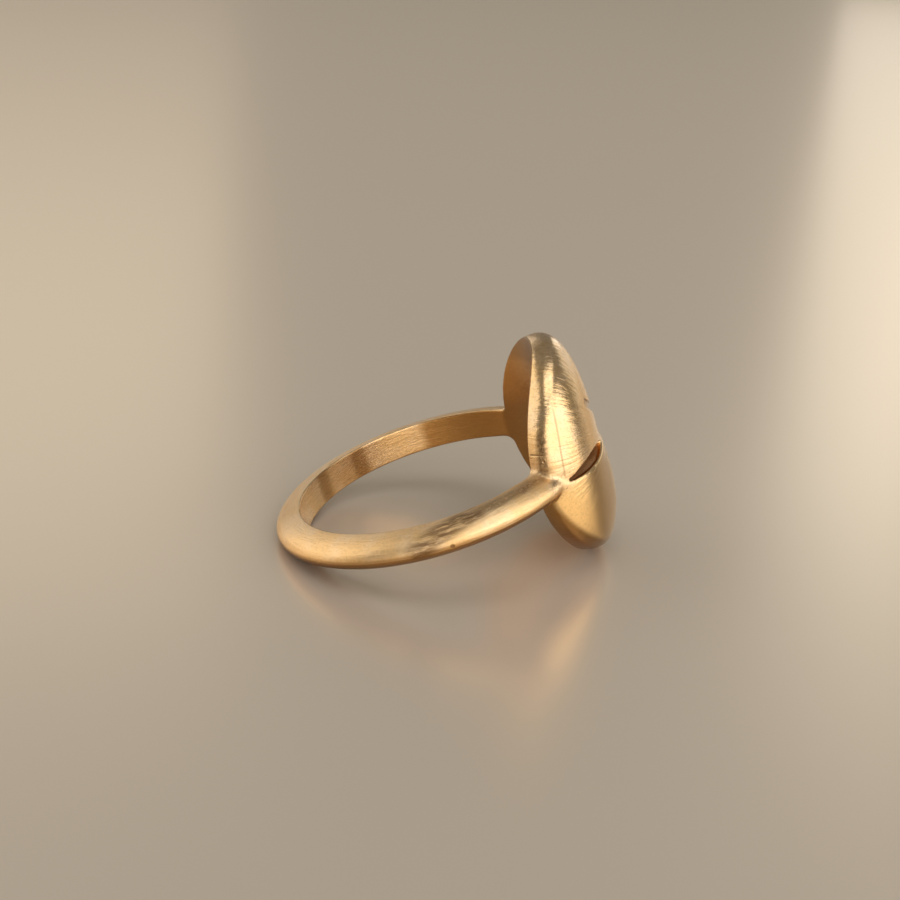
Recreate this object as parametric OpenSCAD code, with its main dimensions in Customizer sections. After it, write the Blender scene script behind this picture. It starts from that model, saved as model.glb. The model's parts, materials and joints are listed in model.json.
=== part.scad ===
// Dome ring: a plain shank soldered to a solid, pillow-shaped round head that is bent round the finger.
// Millimetres. The ring lies on its side at the tilt at which it rests by itself.
// The origin is the centre of the finger hole, +X runs towards the head and +Z is up.

/* [Finger hole and shank] */
// Inside diameter of the ring
finger_d = 16.5; // [15.5:0.1:18.5]
// Width of the shank along the finger
shank_w = 1.96; // [1.6:0.02:2.4]
// Thickness of the shank, out from the finger
shank_t = 1.8; // [1.6:0.05:2]
// Rounding of the shank's two inner edges
shank_edge_r = 0.08; // [0.04:0.02:0.3]

/* [Head] */
// Diameter of the head's round outline
head_d = 13.9; // [12.5:0.1:15]
// Height of the crown above the finger
head_h = 2.6; // [2.4:0.05:3]
// How square the pillow's shoulder is, where 2 is an ellipse
fullness = 2.8; // [2.4:0.1:3.2]
// How far the lower half's middle stands proud of the upper half
proud = 0.26; // [0.1:0.02:0.3]
// How far the lower half stands proud where the two halves meet
lip_proud = 0.1; // [0:0.02:0.2]

/* [Slits and second groove] */
// Width of each of the two slits where it is widest
slit_w = 0.8; // [0.4:0.05:0.9]
// Distance of a slit's outer end from the middle of the head
slit_out = 6.55; // [6:0.05:6.7]
// Distance of a slit's inner end from the middle of the head
slit_in = 1.4; // [1:0.1:2.4]
// Metal left between a slit's floor and the finger
slit_floor = 0.6; // [0.4:0.05:1]
// Width of the second groove
groove_w = 0.55; // [0.3:0.05:0.6]
// Depth of the second groove
groove_depth = 0.18; // [0.1:0.02:0.4]
// How far the second groove climbs to its closed end
groove_rise = 2.85; // [2:0.05:3.6]
// Distance of the second groove's closed end from the middle of the head
groove_reach = 2.9; // [2:0.1:3.6]

/* [Hidden] */

finger_r = finger_d / 2;
head_r = head_d / 2;
face_r = finger_r + head_h;

// The head is drawn flat and then wrapped round the finger at this radius, where lengths stay true
wrap_r = finger_r + 0.2 * head_h;
// The outline is widest this far from the finger's axis, and curls in a little from there to the rim
widest_r = finger_r + 0.18 * head_h;
rim_curl = 0.144;
// The head runs this far inside the finger hole before the hole is cut
under = 0.35;
cut_r = finger_r - under;

// Rings and sectors of the head's surface; the halves meet between two sectors
crown_steps = 11;
side_steps = 2;
sectors = 48;

// The shank's ends reach this far into the head, as an angle from the head's middle
shank_end_a = 38.5;
// The shank is drawn this far inside the finger hole before the hole is cut
shank_under = 0.01;
// Steps round the shank's oval, and round each of its inner edges
oval_steps = 20;
edge_steps = 3;

// The lower half steps up over this height where the halves meet, and swells down to its belly
step_h = 0.4;
belly_z = 2.5;

// A slit's middle line arches: its highest point, how far out that lies and how it falls away
arch_z = 0.135;
arch_y = 4.6;
arch_fall = 0.032;
// How pointed a slit's ends are, where 0.5 is an ellipse
slit_point = 0.88;
// The second groove starts in the far slit and climbs ever faster
groove_start_y = 4.2;
groove_start_z = 0.3;
groove_climb = 1.6;
// How blunt the second groove's closed end is
groove_blunt = 14;
cut_steps = 14;
cut_start_x = finger_r * 0.6;
// Beyond every outer face
clear_of_all = 3;
// The tilt at which the ring rests lies between these two, and is found by this many halvings
low_tilt = 5;
high_tilt = 35;
halvings = 24;

$fn = 96;

// A step that runs smoothly from 0 to 1 as t goes from 0 to 1
function smooth(t) = let (u = min(1, max(0, t))) u * u * (3 - 2 * u);

// Points [distance from the middle, distance from the finger's axis] of a pillow's half section,
// from a crown at crown_r to the widest place and on to the rim
function pillow_section(crown_r) = [
    for (i = [1:crown_steps])
        let (a = 90 * i / crown_steps)
        [head_r * pow(sin(a), 2 / fullness),
         widest_r + (crown_r - widest_r) * pow(max(0, cos(a)), 2 / fullness)],
    for (i = [1:side_steps])
        let (s = i / side_steps)
        [head_r - rim_curl * s * s, widest_r + (cut_r - widest_r) * s]
];

// How much a point of the head moves out: the lower half stands proud, and the rim stays
function lift(z, r) =
    (lip_proud * smooth(0.5 - z / step_h) + (proud - lip_proud) * smooth(-z / belly_z))
    * max(0, r - finger_r) / head_h;

// A point of the flat pillow at distance d from its middle and angle t, wrapped round the finger
function wrapped(d, t, r) =
    let (z = d * sin(t))
    let (out = r + lift(z, r))
    let (turn = d * cos(t) / wrap_r * 180 / PI)
    [out * cos(turn), out * sin(turn), z];

// A closed pillow, from its crown down to a plain bottom in the finger hole
module pillow(crown_r) {
    section = pillow_section(crown_r);
    rings = len(section);
    surface = [
        for (p = section)
            for (j = [0:sectors - 1])
                wrapped(p[0], 360 * (j + 0.5) / sectors, p[1])
    ];
    crown = [crown_r + lift(0, crown_r), 0, 0];
    bottom = [cut_r - under, 0, 0];
    top_id = rings * sectors;
    bottom_id = top_id + 1;
    faces = [
        for (j = [0:sectors - 1])
            let (k = (j + 1) % sectors)
            [top_id, k, j],
        for (i = [0:rings - 2])
            for (j = [0:sectors - 1])
                let (k = (j + 1) % sectors)
                each [
                    [i * sectors + j, i * sectors + k, (i + 1) * sectors + k],
                    [i * sectors + j, (i + 1) * sectors + k, (i + 1) * sectors + j]
                ],
        for (j = [0:sectors - 1])
            let (k = (j + 1) % sectors)
            [bottom_id, (rings - 1) * sectors + j, (rings - 1) * sectors + k]
    ];
    polyhedron(concat(surface, [crown, bottom]), faces, convexity = 4);
}

// Height of a slit's middle line, and half its width, at distance y from the middle of the head
function slit_mid(y) = arch_z - arch_fall * pow(y - arch_y, 2);
function slit_half(y) =
    let (u = (2 * y - slit_out - slit_in) / (slit_out - slit_in))
    slit_w / 2 * pow(max(0, 1 - u * u), slit_point);

// Middle line of the second groove: it leaves the far slit and climbs to its closed end
function groove_run(s) = groove_start_y - (groove_start_y + groove_reach) * s;
function groove_mid(s) = groove_start_z + groove_rise * pow(s, groove_climb);
function groove_half(s) = groove_w / 2 * (1 - pow(s, groove_blunt));

// An outline in the plane across the finger hole, drawn out past the head's front
module through_front() {
    translate([cut_start_x, 0, 0])
        rotate([90, 0, 90])
            linear_extrude(face_r + clear_of_all - cut_start_x)
                children();
}

// One slit's outline, a long arched lens on the near or the far side
module slit_outline(side) {
    steps = [for (i = [0:cut_steps])
        (slit_out + slit_in) / 2 - (slit_out - slit_in) / 2 * cos(180 * i / cut_steps)];
    polygon(concat(
        [for (y = steps) [side * y, slit_mid(y) - slit_half(y)]],
        [for (i = [cut_steps - 1:-1:1])
            [side * steps[i], slit_mid(steps[i]) + slit_half(steps[i])]]
    ));
}

// The second groove's outline, a curved run with a blunt closed end
module groove_outline() {
    steps = [for (i = [0:cut_steps]) 1 - pow(1 - i / cut_steps, 2)];
    polygon(concat(
        [for (s = steps) [groove_run(s), groove_mid(s) - groove_half(s)]],
        [for (i = [cut_steps - 1:-1:0])
            [groove_run(steps[i]), groove_mid(steps[i]) + groove_half(steps[i])]]
    ));
}

// One slit, down to a floor round the finger
module slit(side) {
    difference() {
        through_front()
            slit_outline(side);
        cylinder(r = finger_r + slit_floor, h = head_d, center = true);
    }
}

// The second groove, of one depth all along the pillow
module groove() {
    difference() {
        through_front()
            groove_outline();
        pillow(face_r - groove_depth);
    }
}

// The head, parted by the two slits and cut by the second groove
module head() {
    difference() {
        pillow(face_r);
        for (side = [-1, 1])
            slit(side);
        groove();
    }
}

// The shank's section: half an oval, flat towards the finger, with two softened inner edges
function shank_section() =
    let (inner_r = finger_r - shank_under)
    let (half = shank_w / 2)
    let (last_a = acos(shank_edge_r / shank_t))
    let (edge_z = half * sin(last_a) - shank_edge_r)
    concat(
        [for (i = [-oval_steps:oval_steps])
            let (a = last_a * i / oval_steps)
            [finger_r + shank_t * cos(a), half * sin(a)]],
        [for (side = [1, -1], i = [1:edge_steps])
            let (a = 90 * (side > 0 ? i : edge_steps + 1 - i) / edge_steps)
            [inner_r + shank_edge_r * (1 - sin(a)), side * (edge_z + shank_edge_r * cos(a))]]
    );

// The shank runs round the back of the finger from one side of the head to the other
module shank() {
    rotate([0, 0, shank_end_a])
        rotate_extrude(angle = 360 - 2 * shank_end_a)
            polygon(shank_section());
}

// Head and shank soldered into one, with the true round finger hole
module soldered_ring() {
    difference() {
        union() {
            head();
            shank();
        }
        cylinder(r = finger_r, h = head_d + clear_of_all, center = true);
    }
}

// Lowest point of the head and of the shank's back when the ring leans back by angle a
function head_low(a) = min([
    for (p = pillow_section(face_r))
        (p[1] + lift(-p[0], p[1])) * sin(a) - p[0] * cos(a)
]);
function shank_low(a) = min([for (p = shank_section()) p[1] * cos(a) - p[0] * sin(a)]);

// The tilt at which both touch the table, found by halving the range between two tilts
function rest_tilt(low, high, n) =
    let (mid = (low + high) / 2)
    n == 0 ? mid
    : shank_low(mid) > head_low(mid) ? rest_tilt(mid, high, n - 1)
    : rest_tilt(low, mid, n - 1);
tilt = rest_tilt(low_tilt, high_tilt, halvings);

module ring() {
    color([0.83, 0.66, 0.38])
        rotate([0, -tilt, 0])
            soldered_ring();
}

ring();
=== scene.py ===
"""Dome ring in brushed gold: one soldered ring, its finish, and a plain studio stage.

The ring is modelled in millimetres with the finger's axis along Z and the head towards +X,
then leant back to its resting tilt and brought to metres.
"""
import json
import math

import bpy
from mathutils import Matrix, Vector


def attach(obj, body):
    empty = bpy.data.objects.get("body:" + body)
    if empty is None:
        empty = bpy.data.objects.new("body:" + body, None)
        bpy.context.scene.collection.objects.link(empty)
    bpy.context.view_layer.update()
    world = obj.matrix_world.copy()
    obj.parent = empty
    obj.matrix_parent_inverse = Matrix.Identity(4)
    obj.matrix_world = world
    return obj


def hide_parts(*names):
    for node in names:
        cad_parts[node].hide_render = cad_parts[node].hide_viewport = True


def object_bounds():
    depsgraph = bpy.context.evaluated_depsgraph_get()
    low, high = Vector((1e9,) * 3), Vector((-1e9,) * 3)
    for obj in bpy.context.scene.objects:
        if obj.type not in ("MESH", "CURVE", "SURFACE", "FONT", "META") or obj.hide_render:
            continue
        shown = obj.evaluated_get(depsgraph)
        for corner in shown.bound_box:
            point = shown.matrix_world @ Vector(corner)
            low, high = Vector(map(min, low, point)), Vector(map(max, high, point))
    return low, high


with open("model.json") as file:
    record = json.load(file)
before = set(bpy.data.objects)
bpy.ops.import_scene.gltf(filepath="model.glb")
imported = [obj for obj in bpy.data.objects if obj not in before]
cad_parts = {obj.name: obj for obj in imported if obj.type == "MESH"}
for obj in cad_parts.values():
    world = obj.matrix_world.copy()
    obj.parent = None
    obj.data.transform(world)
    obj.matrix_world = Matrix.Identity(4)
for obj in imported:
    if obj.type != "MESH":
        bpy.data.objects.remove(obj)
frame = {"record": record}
cad_bounds = [list(corner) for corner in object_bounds()]

bl_info = {
    "name": "Dome Ring",
    "version": (1, 0, 0),
    "blender": (4, 5, 0),
    "location": "3D View > Sidebar > Ring",
    "description": "Builds a dome ring in brushed gold on a plain stage",
    "category": "Add Mesh",
}

MOST_TRIANGLES = 190000
MM = 1000.0

# The finger hole and the resting tilt come from the frame
BORE = next(m for m in frame["record"]["mounts"] if m["name"] == "finger_bore")
FINGER_RADIUS = BORE["dims"]["r_mm"] / MM
TILT = math.atan2(-BORE["axis"][0], BORE["axis"][2])
FLOOR_Z = cad_bounds[0][2]

# The head's section, as shares of its height: where it is widest and where it keeps its length
WIDEST_AT = 0.18
WRAP_AT = 0.2
# How much the side curls in below that: at its foot inside the finger hole and at the hole's wall
FOOT_CURL = 0.144
RIM_CURL = 0.09
# How far the head is drawn inside the finger hole, and the radius of its flat crown
UNDER = 0.35
CROWN_FLAT = 0.1
SIDE_STEPS = 4
CROWN_STEPS = 30
SECTORS = 128
# Where the lower half swells most, how much of it is moved, and how far the swelling reaches
BELLY = Vector((11.0, 0.0, -3.2))
BELLY_SPOT = 0.5
BELLY_REACH = 3.4
# The line where the halves meet: its height at the middle and at the slits' outer ends
MEET_MIDDLE = -0.23
MEET_END = 0.02
# Heights of a slit's inner and outer ends, and how much of its width lies above their line
SLIT_IN_Z = -0.19
SLIT_OUT_Z = 0.01
SLIT_ABOVE = 0.76
# The second groove runs on an arc from the far slit to its closed end, as (y, z) points
GROOVE_START = Vector((4.2, 0.3))
GROOVE_END = Vector((-2.68, 2.98))
GROOVE_SAG = 0.38
GROOVE_STEPS = 60
# The bar that cuts it, outwards from the finger
BAR_MIDDLE = 11.5
BAR_LENGTH = 5.0
# Where the shank's ends lie in the head, and the solder fillets: far or near side, below or
# above the shank, and radius
SHANK_END = math.radians(38.5)
FILLETS = ((1, -1, 0.8), (1, 1, 0.3), (-1, -1, 0.5), (-1, 1, 0.6))
# How far the solder reaches out from the finger's axis, and how deep it starts inside the head
FILLET_TOP = 9.0
FILLET_DEPTH = 1.0
# Sides of the shank's oval, steps round the finger, and steps of its inner edges
SHANK_SIDES = 96
SHANK_STEPS = 240
EDGE_STEPS = 4
# The plain rods: along the finger, and across it from inside the head out past its front
ROD_SIDES = 256
ROD_LENGTH = 20.0
CROSS_START = 5.0
CROSS_END = 14.0
# Sides of the rods that shape the line where the halves meet, a slit's upper and lower edge, the
# second groove's closed end and a fillet
MEET_SIDES = 1200
SLIT_UPPER_SIDES = 360
SLIT_LOWER_SIDES = 900
GROOVE_END_SIDES = 32
FILLET_SIDES = 96
# Points closer than this are one
SAME_PLACE = 0.0005
# Smoothing: how strong, and how many rounds of it over all, at the solder, the lip and the groove
SMOOTHING = 0.5
ALL_ROUNDS = 9
SOLDER_ROUNDS = 60
LIP_ROUNDS = 36
GROOVE_ROUNDS = 8
# Where the solder and the lip are smoothed, how deep below the crown the lip and the groove are,
# and how far the smoothing reaches from each of the three
JOINT_TURN = math.radians(45)
LIP_Z = -0.3
SMOOTHED_DEPTH = 1.0
SOLDER_REACH = 2.0
LIP_REACH = 0.34
GROOVE_REACH = 0.4


class RingSizes(bpy.types.PropertyGroup):
    """Sizes of the ring"""

    finger_radius: bpy.props.FloatProperty(
        name="Finger radius", description="Radius of the finger hole",
        default=FINGER_RADIUS, unit="LENGTH", precision=5)
    shank_width: bpy.props.FloatProperty(
        name="Shank width", description="Width of the shank along the finger",
        default=0.00196, unit="LENGTH", precision=5)
    shank_thickness: bpy.props.FloatProperty(
        name="Shank thickness", description="Thickness of the shank, out from the finger",
        default=0.0018, unit="LENGTH", precision=5)
    shank_edge: bpy.props.FloatProperty(
        name="Shank edge", description="Rounding of the shank's inner edges",
        default=0.00008, unit="LENGTH", precision=5)
    head_diameter: bpy.props.FloatProperty(
        name="Head diameter", description="Diameter of the head's round outline",
        default=0.0139, unit="LENGTH", precision=5)
    head_height: bpy.props.FloatProperty(
        name="Head height", description="Height of the crown above the finger",
        default=0.0026, unit="LENGTH", precision=5)
    fullness: bpy.props.FloatProperty(
        name="Fullness", description="How square the shoulder is, where 2 is an ellipse",
        default=2.8, min=2.0, max=4.0)
    lip_proud: bpy.props.FloatProperty(
        name="Lip", description="How far the lower half stands proud where the halves meet",
        default=0.0001, unit="LENGTH", precision=5)
    belly_proud: bpy.props.FloatProperty(
        name="Belly", description="How much further the lower half swells at its middle",
        default=0.00016, unit="LENGTH", precision=5)
    slit_width: bpy.props.FloatProperty(
        name="Slit width", description="Width of each slit where it is widest",
        default=0.0008, unit="LENGTH", precision=5)
    slit_outer: bpy.props.FloatProperty(
        name="Slit outer end", description="Distance of a slit's outer end from the middle",
        default=0.00655, unit="LENGTH", precision=5)
    slit_inner: bpy.props.FloatProperty(
        name="Slit inner end", description="Distance of a slit's inner end from the middle",
        default=0.0014, unit="LENGTH", precision=5)
    slit_floor: bpy.props.FloatProperty(
        name="Slit floor", description="Metal left between a slit and the finger",
        default=0.0006, unit="LENGTH", precision=5)
    groove_width: bpy.props.FloatProperty(
        name="Groove width", description="Width of the second groove",
        default=0.00056, unit="LENGTH", precision=5)
    groove_depth: bpy.props.FloatProperty(
        name="Groove depth", description="Depth of the second groove",
        default=0.00018, unit="LENGTH", precision=5)
    cell: bpy.props.FloatProperty(
        name="Cell", description="Size of the mesh's cells",
        default=0.00005, unit="LENGTH", precision=6)


class RingFinish(bpy.types.PropertyGroup):
    """Colours and brushing of the gold"""

    gold: bpy.props.FloatVectorProperty(
        name="Gold", description="Colour of the brushed gold",
        default=(0.92, 0.61, 0.29), size=3, subtype="COLOR", min=0, max=1)
    pale_gold: bpy.props.FloatVectorProperty(
        name="Pale gold", description="Colour where the gold is worn smooth",
        default=(0.94, 0.67, 0.39), size=3, subtype="COLOR", min=0, max=1)
    # The warm gold is a painted warm reflection on the head's lower half
    painted_warm_reflection: bpy.props.FloatVectorProperty(
        name="Warm gold", description="Colour of the head's lower half",
        default=(1.0, 0.68, 0.32), size=3, subtype="COLOR", min=0, max=1)
    # The deep gold is painted shade and painted dark reflections inside the finger hole and on the
    # undersides
    painted_shade_gold: bpy.props.FloatVectorProperty(
        name="Deep gold", description="Colour inside the finger hole and on the undersides",
        default=(0.45, 0.24, 0.08), size=3, subtype="COLOR", min=0, max=1)
    # The grime colour paints grime, tarnish and pits, and also painted shade and dark reflections
    grime_and_shade: bpy.props.FloatVectorProperty(
        name="Grime", description="Colour of the grime, tarnish and pits",
        default=(0.16, 0.08, 0.03), size=3, subtype="COLOR", min=0, max=1)
    roughness: bpy.props.FloatProperty(
        name="Roughness", description="Roughness of the gold between the brush strokes",
        default=0.09, min=0, max=1, subtype="FACTOR")
    brushing: bpy.props.FloatProperty(
        name="Brushing", description="Depth of the brush strokes",
        default=0.000015, unit="LENGTH", precision=6)


class RingStage(bpy.types.PropertyGroup):
    """Floor and light of the stage"""

    floor: bpy.props.FloatVectorProperty(
        name="Floor", description="Colour of the floor",
        default=(0.62, 0.54, 0.45), size=3, subtype="COLOR", min=0, max=1)
    floor_roughness: bpy.props.FloatProperty(
        name="Floor roughness", description="Roughness of the floor's satin",
        default=0.28, min=0, max=1, subtype="FACTOR")
    floor_gloss: bpy.props.FloatProperty(
        name="Floor gloss", description="Refractive index of the floor's lacquer",
        default=4.8, min=1, max=6)
    floor_shine: bpy.props.FloatVectorProperty(
        name="Floor shine", description="Colour of the floor's gloss",
        default=(1.0, 0.86, 0.66), size=3, subtype="COLOR", min=0, max=1)
    room: bpy.props.FloatProperty(
        name="Room light", description="Brightness of the dim room",
        default=0.2, min=0, max=2)
    key: bpy.props.FloatProperty(
        name="Key light", description="Brightness of the large soft box at the right",
        default=1.58, min=0, max=10)
    fill: bpy.props.FloatProperty(
        name="Fill light", description="Brightness of the soft box at the left",
        default=1.0, min=0, max=10)
    back: bpy.props.FloatProperty(
        name="Back light", description="Brightness of the low soft box behind",
        default=0.55, min=0, max=10)
    low: bpy.props.FloatProperty(
        name="Low light", description="Brightness of the small soft box behind at the left",
        default=0.75, min=0, max=10)
    rim: bpy.props.FloatProperty(
        name="Rim light", description="Brightness of the narrow strip light behind",
        default=1.4, min=0, max=10)
    top: bpy.props.FloatProperty(
        name="Top light", description="Brightness of the soft box overhead",
        default=1.35, min=0, max=10)


def fresh():
    """Leaves nothing selected, in object mode."""
    if bpy.context.mode != "OBJECT":
        bpy.ops.object.mode_set(mode="OBJECT")
    bpy.ops.object.select_all(action="DESELECT")


def only(obj):
    """Makes obj the one selected and active object."""
    fresh()
    obj.select_set(True)
    bpy.context.view_layer.objects.active = obj


def edit(obj):
    """Opens obj in edit mode with all of it selected."""
    only(obj)
    bpy.ops.object.mode_set(mode="EDIT")
    bpy.ops.mesh.select_all(action="SELECT")


def pick(obj, wanted):
    """Selects the vertices of obj, open in edit mode, for which wanted(position) holds."""
    bpy.ops.mesh.select_all(action="DESELECT")
    bpy.ops.mesh.select_mode(type="VERT")
    bpy.ops.object.mode_set(mode="OBJECT")
    for vertex in obj.data.vertices:
        vertex.select = wanted(vertex.co)
    bpy.ops.object.mode_set(mode="EDIT")


def close_up():
    """Merges what lies in one place in the mesh that is open, and turns its faces outwards."""
    bpy.ops.mesh.select_all(action="SELECT")
    bpy.ops.mesh.remove_doubles(threshold=SAME_PLACE)
    bpy.ops.mesh.normals_make_consistent(inside=False)


def apply_modifier(obj, kind, **settings):
    """Adds a modifier to obj and applies it."""
    only(obj)
    modifier = obj.modifiers.new(kind.lower(), kind)
    for key, value in settings.items():
        setattr(modifier, key, value)
    bpy.ops.object.modifier_apply(modifier=modifier.name)


def combine(obj, other, operation):
    """Joins other to obj, or cuts obj with it, and removes other."""
    apply_modifier(obj, "BOOLEAN", object=other, operation=operation, solver="EXACT")
    bpy.data.objects.remove(other, do_unlink=True)
    return obj


def place(obj, turn=Matrix(), move=(0, 0, 0), scale=1.0):
    """Turns, scales and moves obj, and puts that into its mesh."""
    obj.matrix_world = Matrix.Translation(move) @ turn @ Matrix.Scale(scale, 4)
    only(obj)
    bpy.ops.object.transform_apply(location=True, rotation=True, scale=True)


def finger_rod(radius):
    """A rod along the finger's axis."""
    fresh()
    bpy.ops.mesh.primitive_cylinder_add(vertices=ROD_SIDES, radius=radius, depth=ROD_LENGTH)
    return bpy.context.active_object


def cross_rod(radius, y, z, vertices):
    """A rod across the finger's axis, from inside the head out past its front."""
    fresh()
    bpy.ops.mesh.primitive_cylinder_add(
        vertices=vertices, radius=radius, depth=CROSS_END - CROSS_START,
        location=((CROSS_START + CROSS_END) / 2, y, z), rotation=(0, math.pi / 2, 0))
    rod = bpy.context.active_object
    bpy.ops.object.transform_apply(location=True, rotation=True)
    return rod


def pillow_section(top, sizes):
    """Half section of the flat pillow, from its bottom to its crown, as (half width, radius)."""
    finger, wide = sizes.finger_radius * MM, sizes.head_diameter * MM / 2
    widest = finger + WIDEST_AT * sizes.head_height * MM
    side = [(wide - FOOT_CURL * (1 - s / SIDE_STEPS) ** 2,
             finger - UNDER + (widest - finger + UNDER) * s / SIDE_STEPS)
            for s in range(SIDE_STEPS)]
    dome = []
    for i in range(CROWN_STEPS):
        a = 0.5 * math.pi * i / CROWN_STEPS
        dome.append((wide * math.cos(a) ** (2 / sizes.fullness),
                     widest + (top - widest) * math.sin(a) ** (2 / sizes.fullness)))
    return side + dome + [(CROWN_FLAT, top)]


def wrapped_pillow(name, top, sizes):
    """A solid pillow, drawn flat ring by ring and bent round the finger."""
    wrap = (sizes.finger_radius + WRAP_AT * sizes.head_height) * MM
    section = pillow_section(top, sizes)
    fresh()
    bpy.ops.mesh.primitive_circle_add(
        vertices=SECTORS, radius=section[0][0], fill_type="NGON",
        location=(0, 0, section[0][1] - wrap))
    obj = bpy.context.active_object
    obj.name = name
    bpy.ops.object.transform_apply(location=True)
    edit(obj)
    for (d0, r0), (d1, r1) in zip(section, section[1:]):
        bpy.ops.mesh.extrude_region_move(TRANSFORM_OT_translate={"value": (0, 0, r1 - r0)})
        bpy.ops.transform.resize(
            value=(d1 / d0, d1 / d0, 1), center_override=(0, 0, r1 - wrap))
    bpy.ops.mesh.select_all(action="SELECT")
    bpy.ops.mesh.normals_make_consistent(inside=False)
    # Stand it up: the pillow's top to -Y, the length to be bent along X
    place(obj, Matrix.Rotation(math.radians(90), 4, "X"))
    length = max(v.co.x for v in obj.data.vertices) - min(v.co.x for v in obj.data.vertices)
    apply_modifier(obj, "SIMPLE_DEFORM", deform_method="BEND", deform_axis="Z",
                   angle=length / wrap)
    place(obj, Matrix.Rotation(math.radians(90), 4, "Z"), (wrap, 0, 0))
    return obj


def lower_half(sizes):
    """The head's lower half, which stands a little proud and swells at its belly."""
    face = (sizes.finger_radius + sizes.head_height) * MM
    half = wrapped_pillow("lower_half", face + sizes.lip_proud * MM, sizes)
    edit(half)
    pick(half, lambda co: (co - BELLY).length < BELLY_SPOT)
    bpy.ops.transform.translate(
        value=(sizes.belly_proud * MM, 0, 0), use_proportional_edit=True,
        proportional_edit_falloff="SMOOTH", proportional_size=BELLY_REACH)
    reach, sag = sizes.slit_outer * MM, MEET_END - MEET_MIDDLE
    radius = (reach ** 2 + sag ** 2) / (2 * sag)
    rod = cross_rod(radius, 0, MEET_MIDDLE + radius, MEET_SIDES)
    return combine(half, rod, "DIFFERENCE")


def arc_rod(start, end, sag, vertices):
    """A cross rod whose edge passes through two (y, z) points and bows by sag to their left."""
    chord = end - start
    radius = (chord.length_squared / 4 + sag ** 2) / (2 * abs(sag))
    left = Vector((-chord.y, chord.x)).normalized()
    centre = (start + end) / 2 + left * (sag - math.copysign(radius, sag))
    return cross_rod(radius, centre.x, centre.y, vertices)


def slit_cutter(side, sizes):
    """A long arched lens, on the near side (-1) or the far side (1), down to the slit's floor."""
    inner = Vector((side * sizes.slit_inner * MM, SLIT_IN_Z))
    outer = Vector((side * sizes.slit_outer * MM, SLIT_OUT_Z))
    above = side * sizes.slit_width * MM * SLIT_ABOVE
    below = side * sizes.slit_width * MM * (1 - SLIT_ABOVE)
    lens = combine(arc_rod(inner, outer, above, SLIT_UPPER_SIDES),
                   arc_rod(inner, outer, -below, SLIT_LOWER_SIDES), "INTERSECT")
    floor = (sizes.finger_radius + sizes.slit_floor) * MM
    return combine(lens, finger_rod(floor), "DIFFERENCE")


def groove_arc():
    """Centre and radius of the arc that the second groove runs on, and its chord."""
    chord = GROOVE_END - GROOVE_START
    radius = (chord.length_squared / 4 + GROOVE_SAG ** 2) / (2 * GROOVE_SAG)
    up = Vector((chord.y, -chord.x)).normalized()
    return (GROOVE_START + GROOVE_END) / 2 + up * (radius - GROOVE_SAG), radius, chord


def groove_cutter(sizes):
    """The second groove: a bar spun along an arc, with a round closed end."""
    half = sizes.groove_width * MM / 2
    floor = (sizes.finger_radius + sizes.head_height - sizes.groove_depth) * MM
    centre, radius, chord = groove_arc()
    out = (GROOVE_START - centre).normalized()
    fresh()
    bpy.ops.mesh.primitive_plane_add(size=1)
    bar = bpy.context.active_object
    bar.name = "groove"
    turn = Matrix(((1, 0, 0), (0, out.x, -out.y), (0, out.y, out.x))).to_4x4()
    place(bar, Matrix.Translation((0, GROOVE_START.x, GROOVE_START.y)) @ turn
          @ Matrix.Translation((BAR_MIDDLE, 0, 0))
          @ Matrix.Diagonal((BAR_LENGTH, 2 * half, 1, 1)))
    edit(bar)
    angle = 2 * math.asin(chord.length / 2 / radius)
    bpy.ops.mesh.spin(steps=GROOVE_STEPS, angle=angle, center=(0, centre.x, centre.y),
                      axis=(1, 0, 0))
    close_up()
    closed_end = cross_rod(half, GROOVE_END.x, GROOVE_END.y, GROOVE_END_SIDES)
    combine(bar, closed_end, "UNION")
    return combine(bar, wrapped_pillow("groove_floor", floor, sizes), "DIFFERENCE")


def shank_solid(sizes):
    """The shank: half an oval, flat inside, spun round the back of the finger."""
    finger, half = sizes.finger_radius * MM, sizes.shank_width * MM / 2
    thick, edge = sizes.shank_thickness * MM, sizes.shank_edge * MM
    fresh()
    bpy.ops.mesh.primitive_circle_add(vertices=SHANK_SIDES, radius=1, fill_type="NGON")
    obj = bpy.context.active_object
    obj.name = "shank"
    place(obj, Matrix.Rotation(math.radians(90), 4, "X") @ Matrix.Diagonal((thick, half, 1, 1)),
          (finger, 0, 0))
    edit(obj)
    bpy.ops.mesh.bisect(plane_co=(finger, 0, 0), plane_no=(1, 0, 0), clear_inner=True)
    pick(obj, lambda co: co.x < finger + SAME_PLACE)
    bpy.ops.mesh.bevel(offset=edge, offset_type="OFFSET", segments=EDGE_STEPS,
                       affect="VERTICES", profile=0.5, clamp_overlap=False)
    bpy.ops.mesh.select_all(action="SELECT")
    turn = 2 * math.pi - 2 * SHANK_END
    bpy.ops.transform.rotate(value=SHANK_END, orient_axis="Z", center_override=(0, 0, 0))
    bpy.ops.mesh.spin(steps=SHANK_STEPS, angle=turn, center=(0, 0, 0), axis=(0, 0, 1))
    close_up()
    bpy.ops.object.mode_set(mode="OBJECT")
    return obj


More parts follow.
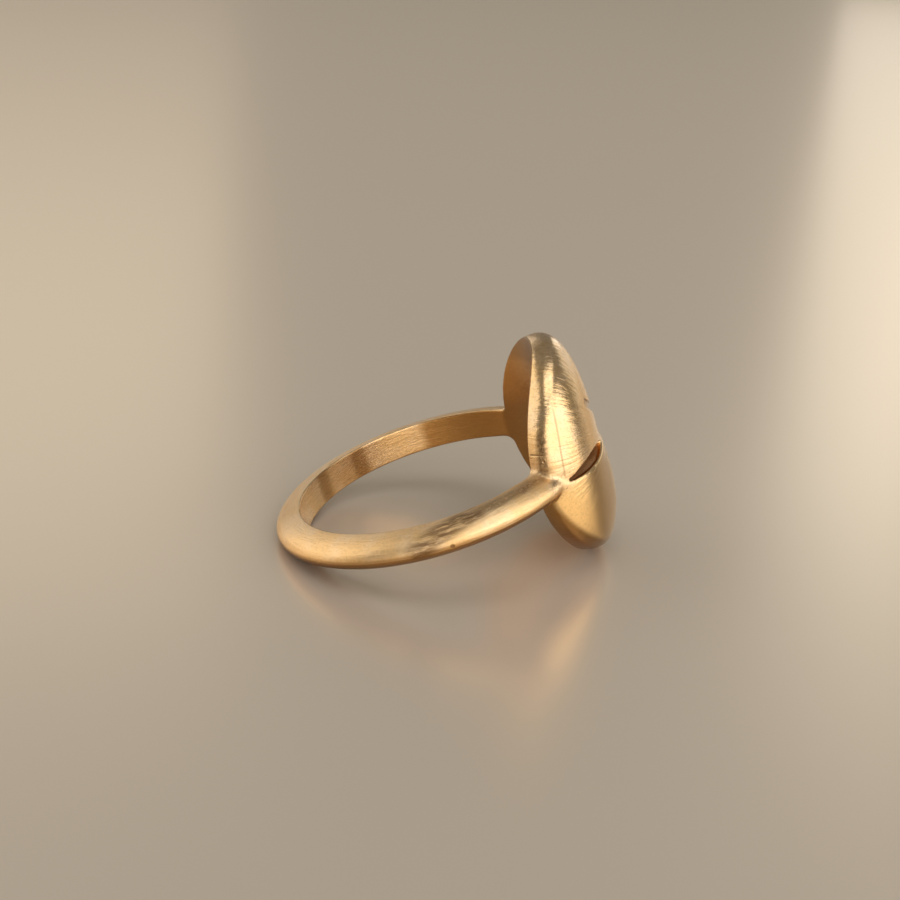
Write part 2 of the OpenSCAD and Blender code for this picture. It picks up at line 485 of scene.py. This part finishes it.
def solder_fillet(side, above, radius, sizes):
    """Solder in one corner between the head's outline and the shank's edge."""
    finger, half = sizes.finger_radius * MM, sizes.shank_width * MM / 2
    wrap = finger + WRAP_AT * sizes.head_height * MM
    outline = sizes.head_diameter * MM / 2 - RIM_CURL
    # The fillet's circle touches both the outline and the shank's edge
    middle_z = half + radius
    middle_s = math.sqrt((outline + radius) ** 2 - middle_z ** 2)
    end_z = middle_z * outline / (outline + radius)
    start_s = outline - FILLET_DEPTH
    fresh()
    bpy.ops.mesh.primitive_cube_add(size=1)
    corner = bpy.context.active_object
    corner.name = "solder"
    bottom = finger - UNDER
    place(corner, Matrix.Diagonal((FILLET_TOP - bottom, middle_s - start_s, end_z, 1)),
          ((FILLET_TOP + bottom) / 2, (middle_s + start_s) / 2, end_z / 2))
    combine(corner, cross_rod(radius, middle_s, middle_z, FILLET_SIDES), "DIFFERENCE")
    # From the flat plan to its place round the finger, on its side
    start = (start_s + middle_s) / 2
    place(corner, Matrix.Rotation(start / wrap, 4, "Z") @ Matrix.Translation((0, -start, 0)))
    place(corner, Matrix.Diagonal((1, side, above, 1)))
    if side * above < 0:
        edit(corner)
        bpy.ops.mesh.flip_normals()
        bpy.ops.object.mode_set(mode="OBJECT")
    return corner


def soften(obj, name, rounds, weight):
    """Smooths obj by as much as weight(position) says, from 0 to 1."""
    group = obj.vertex_groups.new(name=name)
    for vertex in obj.data.vertices:
        amount = weight(vertex.co)
        if amount > 0:
            group.add([vertex.index], min(1.0, amount), "REPLACE")
    apply_modifier(obj, "SMOOTH", factor=SMOOTHING, iterations=rounds, vertex_group=name)


def round_off(ring, sizes):
    """Rounds the solder at both joints, the lower half's lip and the second groove's edges."""
    middle = (sizes.finger_radius + sizes.shank_thickness / 2) * MM
    joints = [Vector((middle * math.cos(turn), middle * math.sin(turn), 0))
              for turn in (-JOINT_TURN, JOINT_TURN)]
    face = (sizes.finger_radius + sizes.head_height) * MM
    centre, radius, _ = groove_arc()

    def near(away, reach):
        """Full to half the reach, and nothing past it."""
        return 2 - 2 * away / reach

    def by_solder(co):
        return near(min((co - joint).length for joint in joints), SOLDER_REACH)

    def by_lip(co):
        if abs(co.y) >= sizes.slit_outer * MM or math.hypot(co.x, co.y) <= face - SMOOTHED_DEPTH:
            return 0
        return near(abs(co.z - LIP_Z), LIP_REACH)

    def by_groove(co):
        spot = Vector((co.y, co.z))
        if math.hypot(co.x, co.y) < face - SMOOTHED_DEPTH:
            return 0
        if co.x < 0 or spot.x > GROOVE_START.x:
            return 0
        off = abs((spot - centre).length - radius)
        if spot.x < GROOVE_END.x:
            off = (spot - GROOVE_END).length
        return near(max(0, off - sizes.groove_width * MM / 2), GROOVE_REACH)

    soften(ring, "solder", SOLDER_ROUNDS, by_solder)
    soften(ring, "lip", LIP_ROUNDS, by_lip)
    soften(ring, "groove", GROOVE_ROUNDS, by_groove)


class RING_OT_ring(bpy.types.Operator):
    """Model the ring as one soldered body in brushed gold"""

    bl_idname = "ring.ring"
    bl_label = "Ring"

    def execute(self, context):
        sizes = context.scene.ring_sizes
        finger = sizes.finger_radius * MM
        ring = wrapped_pillow("dome_ring", finger + sizes.head_height * MM, sizes)
        combine(ring, lower_half(sizes), "UNION")
        for side in (-1, 1):
            combine(ring, slit_cutter(side, sizes), "DIFFERENCE")
        combine(ring, groove_cutter(sizes), "DIFFERENCE")
        combine(ring, shank_solid(sizes), "UNION")
        for side, above, radius in FILLETS:
            combine(ring, solder_fillet(side, above, radius, sizes), "UNION")
        combine(ring, finger_rod(finger), "DIFFERENCE")
        apply_modifier(ring, "REMESH", mode="VOXEL", voxel_size=sizes.cell * MM,
                       use_smooth_shade=True)
        apply_modifier(ring, "SMOOTH", factor=SMOOTHING, iterations=ALL_ROUNDS)
        round_off(ring, sizes)
        triangles = sum(len(face.vertices) - 2 for face in ring.data.polygons)
        apply_modifier(ring, "DECIMATE", decimate_type="COLLAPSE",
                       ratio=MOST_TRIANGLES / triangles)
        place(ring, Matrix.Rotation(-TILT, 4, "Y"), scale=1 / MM)
        bpy.ops.object.shade_smooth()
        ring.data.materials.clear()
        ring.data.materials.append(brushed_gold(sizes, context.scene.ring_finish))
        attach(ring, "root")
        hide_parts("ring")
        return {"FINISHED"}


# A spot and a streak are full within this share of their radius
SPOT_CORE = 0.35
STREAK_CORE = 0.25


class Web:
    """Adds and links the nodes of one material."""

    def __init__(self, material):
        material.use_nodes = True
        self.tree = material.node_tree
        self.shader = self.tree.nodes["Principled BSDF"]

    def add(self, kind, *values, **settings):
        """Adds a node, sets its settings, and links or sets its inputs in order."""
        node = self.tree.nodes.new(kind)
        for key, value in settings.items():
            setattr(node, key, value)
        for socket, value in zip(node.inputs, values):
            self.feed(socket, value)
        return node

    def feed(self, socket, value):
        """Links a socket to value, or sets it where value is a plain one."""
        if isinstance(value, bpy.types.NodeSocket):
            self.tree.links.new(value, socket)
        elif value is not None:
            socket.default_value = value

    def math(self, operation, *values):
        return self.add("ShaderNodeMath", *values, operation=operation).outputs[0]

    def vector(self, *values):
        return self.add("ShaderNodeCombineXYZ", *values).outputs[0]

    def length(self, *values):
        return self.add("ShaderNodeVectorMath", self.vector(*values),
                        operation="LENGTH").outputs["Value"]

    def ramp(self, value, start, end):
        """Runs smoothly from 0 at start to 1 at end."""
        low, high = min(start, end), max(start, end)
        out = (0.0, 1.0) if start < end else (1.0, 0.0)
        return self.add("ShaderNodeMapRange", value, low, high, *out,
                        interpolation_type="SMOOTHSTEP").outputs[0]

    def fade(self, value, name, base=0.0):
        """Runs from 0 to 1 over one of the FADES, counted from base."""
        start, end = FADES[name]
        return self.ramp(value, base + start, base + end)

    def times(self, *values):
        """The product of two or more values."""
        product, *rest = values
        for value in rest:
            product = self.math("MULTIPLY", product, value)
        return product

    def most(self, *values):
        """The greatest of two or more values."""
        greatest, *rest = values
        for value in rest:
            greatest = self.math("MAXIMUM", greatest, value)
        return greatest

    def without(self, value):
        """What value leaves of 1."""
        return self.math("SUBTRACT", 1.0, value)

    def apart(self, value, middle):
        """How far value is from middle, either way."""
        return self.math("ABSOLUTE", self.math("SUBTRACT", value, middle))

    def spots(self, point, places):
        """1 at each of several places, falling to 0 at each one's radius."""
        share = 0.0
        for centre, radius in places:
            far = self.add("ShaderNodeVectorMath", point, centre, operation="DISTANCE")
            share = self.most(
                share, self.ramp(far.outputs["Value"], radius, SPOT_CORE * radius))
        return share

    def streak(self, point, corners, radius):
        """1 along a line through several corners, falling to 0 at a radius."""
        share = 0.0
        for start, end in zip(corners, corners[1:]):
            run = Vector(end) - Vector(start)
            off = self.add("ShaderNodeVectorMath", point, start, operation="SUBTRACT").outputs[0]
            along = self.add("ShaderNodeVectorMath", off, run, operation="DOT_PRODUCT")
            along = self.add("ShaderNodeMapRange", along.outputs["Value"], 0.0,
                             run.length_squared).outputs[0]
            nearest = self.add("ShaderNodeVectorMath", run, operation="SCALE")
            self.feed(nearest.inputs["Scale"], along)
            far = self.add("ShaderNodeVectorMath", off, nearest.outputs[0], operation="DISTANCE")
            share = self.most(
                share, self.ramp(far.outputs["Value"], radius, STREAK_CORE * radius))
        return share

    def noise(self, point, scale, detail, roughness):
        """Soft noise round 0.5."""
        node = self.add("ShaderNodeTexNoise", point)
        node.inputs["Scale"].default_value = scale
        node.inputs["Detail"].default_value = detail
        node.inputs["Roughness"].default_value = roughness
        return node.outputs[0]

    def blend(self, share, low, high):
        """Low where share is 0 and high where it is 1, for numbers."""
        node = self.add("ShaderNodeMix", data_type="FLOAT")
        for name, value in (("Factor", share), ("A", low), ("B", high)):
            self.feed(next(i for i in node.inputs if i.name == name and i.enabled), value)
        return next(o for o in node.outputs if o.enabled)

    def tint(self, share, low, high):
        """Low where share is 0 and high where it is 1, for colours."""
        node = self.add("ShaderNodeMix", data_type="RGBA")
        for name, value in (("Factor", share), ("A", low), ("B", high)):
            if not isinstance(value, bpy.types.NodeSocket):
                value = (*value, 1.0)
            self.feed(next(i for i in node.inputs if i.name == name and i.enabled), value)
        return next(o for o in node.outputs if o.enabled)


# All below is in the ring's own millimetres, with the finger's axis along z.
# Fades, each from where it starts to where it is full
FADES = {
    # Across the head, counted from its outline
    "head": (0.45, -0.05),
    "shoulder": (-4.6, -2.6),
    "cut_rim": (-0.2, -0.6),
    "groove_rim": (-1.4, -2.2),
    # Outwards, counted from the hole's wall
    "hole": (0.1, 0.03),
    "seam_wall": (0.3, 0.6),
    # Along the finger
    "lower_half": (0.0, -0.6),
    "lower_satin": (-0.4, -1.2),
    "seam_foot": (0.1, 0.5),
    "seam_top": (4.8, 3.6),
    "crescent_foot": (3.0, 1.0),
    "crescent_top": (4.3, 5.3),
    # Towards the head, and away from the seam's line
    "joint": (0.5, 2.5),
    "seam": (0.07, 0.01),
    # Depth below the head's own surface
    "cut": (0.1, 0.3),
    "groove": (0.06, 0.14),
    "groove_floor": (0.5, 0.3),
    # Turn from the head's middle, and from a dark band's middle
    "dark_wall": (1.62, 1.48),
    "dark_band": (0.11, 0.03),
    # How far the surface faces forwards or up
    "front": (0.62, 0.82),
    "under": (-0.2, -0.42),
    "below": (0.12, -0.2),
    # Value of a noise or of the strokes
    "pale": (0.35, 0.68),
    "specks": (0.57, 0.66),
    "tarnish": (0.25, 0.6),
    "scuffs_and_shade": (0.3, 0.58),
    "shaded": (0.3, 0.5),
    "dusty": (0.52, 0.38),
    "strokes": (0.35, 0.75),
}
# Noises, as scale, detail and roughness
GRAIN = (5.5, 4.0, 0.7)
UPPER_SATIN = (11.0, 4.0, 0.6)
LOWER_SATIN = (6.0, 3.0, 0.7)
CLOUDS = (0.55, 3.0, 0.6)
ROUND_STROKES = (1.0, 5.0, 0.75)
SPOKE_STROKES = (1.0, 3.0, 0.6)
# How close the round strokes lie round the shank, outwards and across it
ROUND_CLOSENESS = (0.7, 4.0, 4.0)
# How close the spokes over the shoulder lie and how high they are, coarse and fine; how fast they
# change outwards, and how near the middle they start
SPOKES = ((27.0, 2.0), (75.0, 0.7))
SPOKE_CHANGE = 1.2
SPOKE_START = 0.5
# Heights of the other strokes, and depths of the marks and specks
ROUND_HEIGHT = 3.6
GRAIN_HEIGHT = 1.2
UPPER_SATIN_HEIGHT = 0.7
LOWER_SATIN_HEIGHT = 1.68
MARK_DEPTH = 2.5
SPECK_DEPTH = 0.8
# Marks of wear and making, and painted shade: lines through their corners, and how wide they are
JOINT_TARNISH = ((6.99, -6.08, 3.1), (6.62, -6.45, 1.15), (5.0, -7.65, 0.95))
TARNISH_WIDTH = 0.55
# The shaded strip along the shank's upper side by the joint is painted shade
SHADED = ((6.62, -6.45, 1.1), (5.0, -7.55, 1.0), (3.4, -8.3, 1.0), (2.0, -8.75, 0.95))
SHADED_WIDTH = 0.75
# The scuffed patch is partly scuffing and partly painted shade
SCUFFED_AND_SHADED = ((2.0, -8.75, 0.95), (-0.34, -9.6, 0.7), (-1.6, -9.9, 0.0))
SCUFFED_AND_SHADED_WIDTH = 1.1
CUT_MARK = ((6.2, -5.82, 2.05), (6.74, -6.32, 2.02))
CUT_MARK_WIDTH = 0.09
# Pits and worn patches: their places, with their radii
PITS = (((0.32, -10.04, -0.11), 0.2), ((6.76, -6.42, 1.65), 0.1), ((6.66, -6.56, 0.68), 0.13))
WORN_PATCHES = (((0.0, -9.6, 0.8), 1.1), ((4.5, -7.7, 0.9), 1.5), ((6.4, -6.2, 0.8), 1.6),
                ((7.5, -6.6, 0.0), 1.2))
# The line where the near side was closed: its distance from the head's middle, how that bows,
# the height where it is least, and how strong the line is
SEAM_AT = 6.14
SEAM_BOW = 0.042
SEAM_MIDDLE_Z = 0.9
SEAM_SHARE = 0.6
# Turns of the painted dark reflections that lie as bands in the hole, and how dark they are
DARK_BANDS = (2.12, 2.53)
BAND_SHARE = 0.75
# How dark the painted shade on the shank's lower side is, and how much of that is missing on the
# near side by the joint
BELOW_SHARE = 0.7
JOINT_RELIEF = 0.6
# The second groove is the cut above this height
GROOVE_FOOT = 0.2
# How much of the grime colour each kind of mark takes, with painted shade in under, front,
# crescent, shaded, part of the scuffed patch and the groove
GRIME_AND_SHADE_SHARES = {"marks": 0.7, "specks": 0.45, "tarnish": 0.8, "scuffs_and_shade": 0.85, "shaded": 0.55,
         "crescent": 0.5, "under": 0.4, "front": 0.6, "dusty": 0.16, "groove": 0.45}
# How much rougher each kind of place is
ROUGHER = {"strokes": 0.12, "worn": 0.1, "cut": 0.4, "tarnish": 0.15, "shank": 0.07}


class Surface:
    """Where a point of the ring lies."""

    def __init__(self, web, sizes):
        self.finger = sizes.finger_radius * MM
        self.wide = sizes.head_diameter * MM / 2
        self.widest = self.finger + WIDEST_AT * sizes.head_height * MM
        self.face = self.finger + sizes.head_height * MM
        self.fullness = sizes.fullness
        coordinates = web.add("ShaderNodeTexCoord").outputs
        mapping = web.add("ShaderNodeMapping", coordinates["Object"])
        mapping.inputs["Rotation"].default_value = (0, TILT, 0)
        mapping.inputs["Scale"].default_value = (MM, MM, MM)
        self.point = mapping.outputs[0]
        self.x, self.y, self.z = web.add("ShaderNodeSeparateXYZ", self.point).outputs
        facing = web.add("ShaderNodeSeparateXYZ", coordinates["Normal"])
        self.forwards, self.up = facing.outputs["X"], facing.outputs["Z"]
        # Distance from the finger's axis, turn round it, and both ways over the wrapped head
        self.out = web.length(self.x, self.y, 0.0)
        self.turn = web.math("ARCTAN2", self.y, self.x)
        self.along = web.times(self.turn, (sizes.finger_radius + WRAP_AT * sizes.head_height) * MM)
        self.across = web.length(self.along, self.z, 0.0)
        # What it is part of, as shares from 0 to 1
        self.near = web.math("LESS_THAN", self.y, 0.0)
        self.head = web.fade(self.across, "head", self.wide)
        self.shoulder = web.fade(self.across, "shoulder", self.wide)
        self.hole = web.fade(self.out, "hole", self.finger)
        self.dome = web.times(self.head, web.without(self.hole))
        self.lower = web.times(web.fade(self.z, "lower_half"), self.head)


def brush_strokes(web, at, grain, round_grain):
    """Heights of the strokes: round the shank, and out from the middle over the shoulder."""
    spokes = web.math("MAXIMUM", at.across, SPOKE_START)
    outwards = web.times(web.math("ADD", at.across, at.out), SPOKE_CHANGE)
    over_shoulder = 0.0
    for closeness, height in SPOKES:
        spoke = web.noise(web.vector(
            web.times(web.math("DIVIDE", at.along, spokes), closeness),
            web.times(web.math("DIVIDE", at.z, spokes), closeness), outwards), *SPOKE_STROKES)
        over_shoulder = web.math("MULTIPLY_ADD", spoke, height, over_shoulder)
    satin = web.blend(web.fade(at.z, "lower_satin"),
                      web.times(web.noise(at.point, *UPPER_SATIN), UPPER_SATIN_HEIGHT),
                      web.times(web.noise(at.point, *LOWER_SATIN), LOWER_SATIN_HEIGHT))
    round_shank = web.math("MULTIPLY_ADD", round_grain, ROUND_HEIGHT,
                           web.times(grain, GRAIN_HEIGHT))
    return web.blend(at.dome, round_shank, web.blend(at.shoulder, satin, over_shoulder))


def depth_in_cuts(web, at):
    """How deep a place lies below the head's own surface."""
    level = web.math("MINIMUM", web.math("DIVIDE", at.across, at.wide), 1.0)
    level = web.math("POWER", web.without(web.math("POWER", level, at.fullness)), 1 / at.fullness)
    surface = web.math("MULTIPLY_ADD", level, at.face - at.widest, at.widest)
    return web.math("SUBTRACT", surface, at.out)


def closing_line(web, at):
    """The line where the near side was closed, following the shoulder."""
    bow = web.math("POWER", web.math("SUBTRACT", at.z, SEAM_MIDDLE_Z), 2.0)
    off = web.apart(at.across, web.math("MULTIPLY_ADD", bow, SEAM_BOW, SEAM_AT))
    return web.times(web.fade(off, "seam"), web.fade(at.z, "seam_foot"),
                     web.fade(at.z, "seam_top"), at.near,
                     web.fade(at.out, "seam_wall", at.finger))


def painted_shade(web, at):
    """Painted shade and painted dark reflections: in the hole, underneath, and where the surface
    faces well down.
    """
    away = web.math("ABSOLUTE", at.turn)
    wall = web.fade(away, "dark_wall")
    for middle in DARK_BANDS:
        band = web.fade(web.apart(away, middle), "dark_band")
        wall = web.most(wall, web.times(band, BAND_SHARE))
    inside = web.times(at.hole, web.blend(at.head, wall, 1.0))
    under = web.fade(at.up, "under")
    # Painted shade on the shank's lower side, less so on the near side by the joint
    by_joint = web.times(web.fade(at.x, "joint"), at.near, JOINT_RELIEF)
    below = web.times(web.fade(at.up, "below"), web.math("SUBTRACT", BELOW_SHARE, at.head),
                      web.without(by_joint))
    return web.most(inside, under, below), under


def brushed_gold(sizes, finish):
    """Satin gold: brushed round the shank and outwards over the head's shoulder."""
    material = bpy.data.materials.new("brushed_gold")
    web = Web(material)
    at = Surface(web, sizes)
    grain = web.noise(at.point, *GRAIN)
    round_closeness, out_closeness, z_closeness = ROUND_CLOSENESS
    round_grain = web.noise(web.vector(
        web.times(at.turn, at.finger * round_closeness), web.times(at.out, out_closeness),
        web.times(at.z, z_closeness)), *ROUND_STROKES)
    shank_grain = web.math("MULTIPLY_ADD", round_grain, 0.5, web.times(grain, 0.5))
    strokes = brush_strokes(web, at, grain, round_grain)

    # Cuts, and the second groove, which is the shallow one
    depth = depth_in_cuts(web, at)
    cut = web.times(web.fade(depth, "cut"), web.fade(at.across, "cut_rim", at.wide),
                    web.without(at.hole))
    # The second groove, which is made darker with grime and painted shade
    groove = web.times(web.fade(depth, "groove"), web.fade(depth, "groove_floor"),
                       web.fade(at.across, "groove_rim", at.wide),
                       web.math("GREATER_THAN", at.z, GROOVE_FOOT))

    # Worn patches, grime and marks, and painted shade
    worn = web.spots(at.point, WORN_PATCHES)
    specks = web.times(web.fade(grain, "specks"), worn)
    tarnish = web.times(web.streak(at.point, JOINT_TARNISH, TARNISH_WIDTH),
                        web.fade(grain, "tarnish"))
    # Partly scuffing, partly painted shade
    scuffs_and_shade = web.times(web.streak(at.point, SCUFFED_AND_SHADED, SCUFFED_AND_SHADED_WIDTH),
                       web.fade(round_grain, "scuffs_and_shade"))
    # Painted shade along the shank's upper side by the joint
    shaded = web.times(web.streak(at.point, SHADED, SHADED_WIDTH),
                       web.fade(shank_grain, "shaded"))
    marks = web.most(web.spots(at.point, PITS), web.times(closing_line(web, at), SEAM_SHARE),
                     web.streak(at.point, CUT_MARK, CUT_MARK_WIDTH))
    deep, under = painted_shade(web, at)
    # Painted dark reflections inside the head's hollow, near its top and its foot
    round_crescent = web.most(web.fade(at.z, "crescent_top"), web.fade(at.z, "crescent_foot"))
    # Grime and marks, and painted shade: under, front, crescent and shaded are painted shade, the
    # scuffed patch partly so, and the groove is grime with painted shade
    grime_and_shade_marks = {
        "marks": marks, "specks": specks, "tarnish": tarnish, "scuffs_and_shade": scuffs_and_shade,
        "shaded": shaded, "under": under, "groove": groove,
        "crescent": web.times(at.hole, at.head, round_crescent),
        # Painted dark reflection where the lower half faces forwards
        "front": web.times(web.fade(at.forwards, "front"), at.lower),
        "dusty": web.fade(web.blend(at.dome, shank_grain, grain), "dusty"),
    }
    grime_and_shade_share = web.most(*(web.times(share, GRIME_AND_SHADE_SHARES[name]) for name, share in grime_and_shade_marks.items()))

    cloud = web.noise(at.point, *CLOUDS)
    colour = web.tint(web.fade(cloud, "pale"), finish.gold, finish.pale_gold)
    # Painted warm reflection on the head's lower half
    colour = web.tint(at.lower, colour, finish.painted_warm_reflection)
    # Painted shade and dark reflections in the hole and underneath
    colour = web.tint(deep, colour, finish.painted_shade_gold)
    colour = web.tint(grime_and_shade_share, colour, finish.grime_and_shade)

    roughened = {
        "strokes": web.fade(strokes, "strokes"), "worn": worn, "cut": cut,
        "tarnish": web.most(tarnish, scuffs_and_shade),
        "shank": web.without(web.most(at.head, at.hole)),
    }
    rough = finish.roughness
    for name, share in roughened.items():
        rough = web.math("MULTIPLY_ADD", share, ROUGHER[name], rough)

    bump = web.add("ShaderNodeBump")
    bump.inputs["Strength"].default_value = 1.0
    bump.inputs["Distance"].default_value = finish.brushing
    height = web.math("SUBTRACT", strokes, web.times(marks, MARK_DEPTH))
    height = web.math("SUBTRACT", height, web.times(specks, SPECK_DEPTH))
    web.feed(bump.inputs["Height"], height)

    web.shader.inputs["Metallic"].default_value = 1.0
    web.feed(web.shader.inputs["Base Color"], colour)
    web.feed(web.shader.inputs["Roughness"], rough)
    web.feed(web.shader.inputs["Normal"], bump.outputs[0])
    return material


# Soft boxes in degrees: azimuth, where 0 is the front and 90 the right, elevation, half width,
# half height, how far it leans back from upright; and its colour
SOFT_BOXES = {
    "key": (34, 32, 56, 54, 20, (1, 0.965, 0.92)),
    "fill": (-110, 24, 36, 35, 0, (1, 0.93, 0.84)),
    "back": (138, 14, 17, 17, 0, (1, 0.97, 0.9)),
    "low": (-167, 17, 10, 9, 0, (1, 0.93, 0.84)),
    "rim": (156, 13, 3, 10, 0, (1, 1, 1)),
    "top": (10, 79, 23, 19, -79, (1, 1, 1)),
}
LIGHT_DISTANCE = 1.2
ROOM_COLOUR = (1.0, 0.95, 0.86)
FLOOR_SIZE = 12


def soft_box(name, radiance):
    """A soft light at its place round the ring."""
    azimuth, elevation, half_width, half_height, lean, colour = SOFT_BOXES[name]
    a, e = math.radians(azimuth), math.radians(elevation)
    out = Vector((math.sin(a) * math.cos(e), -math.cos(a) * math.cos(e), math.sin(e)))
    ahead = Vector((-out.x, -out.y, math.hypot(out.x, out.y) * math.tan(math.radians(lean))))
    fresh()
    bpy.ops.object.light_add(type="AREA", location=out * LIGHT_DISTANCE)
    lamp = bpy.context.active_object
    lamp.name = name
    lamp.data.shape = "RECTANGLE"
    lamp.data.size = 2 * LIGHT_DISTANCE * math.tan(math.radians(half_width))
    lamp.data.size_y = 2 * LIGHT_DISTANCE * math.tan(math.radians(half_height))
    lamp.data.energy = radiance * math.pi * lamp.data.size * lamp.data.size_y
    lamp.data.color = colour
    lamp.rotation_euler = ahead.to_track_quat("-Z", "Y").to_euler()


class RING_OT_stage(bpy.types.Operator):
    """Lay the floor and set the soft light and the camera"""

    bl_idname = "ring.stage"
    bl_label = "Stage"

    def execute(self, context):
        look = context.scene.ring_stage
        fresh()
        bpy.ops.mesh.primitive_plane_add(size=FLOOR_SIZE, location=(0, 0, FLOOR_Z))
        floor = context.active_object
        floor.name = "floor"
        bpy.ops.object.transform_apply(location=True)
        board = bpy.data.materials.new("board")
        board.use_nodes = True
        shader = board.node_tree.nodes["Principled BSDF"]
        shader.inputs["Base Color"].default_value = (*look.floor, 1)
        shader.inputs["Roughness"].default_value = look.floor_roughness
        shader.inputs["IOR"].default_value = look.floor_gloss
        shader.inputs["Specular Tint"].default_value = (*look.floor_shine, 1)
        floor.data.materials.append(board)
        world = bpy.data.worlds.new("studio")
        world.use_nodes = True
        room = world.node_tree.nodes["Background"]
        room.inputs["Color"].default_value = (*ROOM_COLOUR, 1)
        room.inputs["Strength"].default_value = look.room
        context.scene.world = world
        for name in SOFT_BOXES:
            soft_box(name, getattr(look, name))
        set_camera(context.scene)
        context.scene.view_settings.view_transform = "Standard"
        return {"FINISHED"}


# The camera over the finger hole's centre: its place and turn in the ring's own frame
CAMERA_AZIMUTH = math.radians(-0.449)
CAMERA_ELEVATION = math.radians(20.83)
CAMERA_ROLL = math.radians(17.444)
CAMERA_DISTANCE = 93.504
FOCAL_PIXELS = 1500.0
CENTRE_SHOWS_AT = (430.98, 481.86)
PICTURE = 900.0
SENSOR = 36.0
# Nearest and farthest that it sees
SEES_FROM = 0.005
SEES_TO = 10.0


def set_camera(scene):
    """Sets the camera at the photograph's angle and distance."""
    az, el, roll = CAMERA_AZIMUTH, CAMERA_ELEVATION, CAMERA_ROLL
    forward = Vector((math.sin(az) * math.cos(el), math.cos(az) * math.cos(el), -math.sin(el)))
    right = Vector((math.cos(az), -math.sin(az), 0))
    down = forward.cross(right)
    right, down = (math.cos(roll) * right + math.sin(roll) * down,
                   math.cos(roll) * down - math.sin(roll) * right)
    across = (CENTRE_SHOWS_AT[0] - PICTURE / 2) / FOCAL_PIXELS * CAMERA_DISTANCE
    below = (CENTRE_SHOWS_AT[1] - PICTURE / 2) / FOCAL_PIXELS * CAMERA_DISTANCE
    where = -(across * right + below * down + CAMERA_DISTANCE * forward)
    turn = Matrix((right, -down, -forward)).transposed().to_4x4()
    turn.translation = where / MM
    camera = bpy.data.objects.new("camera", bpy.data.cameras.new("camera"))
    scene.collection.objects.link(camera)
    camera.matrix_world = Matrix.Rotation(-TILT, 4, "Y") @ turn
    camera.data.sensor_width = SENSOR
    camera.data.lens = FOCAL_PIXELS * SENSOR / PICTURE
    camera.data.clip_start = SEES_FROM
    camera.data.clip_end = SEES_TO
    scene.camera = camera


class RING_PT_panel(bpy.types.Panel):
    """Lists the ring's operators and sizes"""

    bl_label = "Dome Ring"
    bl_idname = "RING_PT_panel"
    bl_space_type = "VIEW_3D"
    bl_region_type = "UI"
    bl_category = "Ring"

    def draw(self, context):
        for operator in OPERATORS:
            self.layout.operator(operator.bl_idname)
        for group in (context.scene.ring_sizes, context.scene.ring_finish,
                      context.scene.ring_stage):
            for name in type(group).__annotations__:
                self.layout.prop(group, name)


OPERATORS = (RING_OT_ring, RING_OT_stage)
CLASSES = (RingSizes, RingFinish, RingStage, *OPERATORS, RING_PT_panel)


def register():
    for cls in CLASSES:
        bpy.utils.register_class(cls)
    bpy.types.Scene.ring_sizes = bpy.props.PointerProperty(type=RingSizes)
    bpy.types.Scene.ring_finish = bpy.props.PointerProperty(type=RingFinish)
    bpy.types.Scene.ring_stage = bpy.props.PointerProperty(type=RingStage)


def unregister():
    del bpy.types.Scene.ring_sizes
    del bpy.types.Scene.ring_finish
    del bpy.types.Scene.ring_stage
    for cls in reversed(CLASSES):
        bpy.utils.unregister_class(cls)


def main():
    """Builds the ring and its stage."""
    register()
    bpy.ops.ring.ring()
    bpy.ops.ring.stage()


if __name__ == "__main__":
    main()
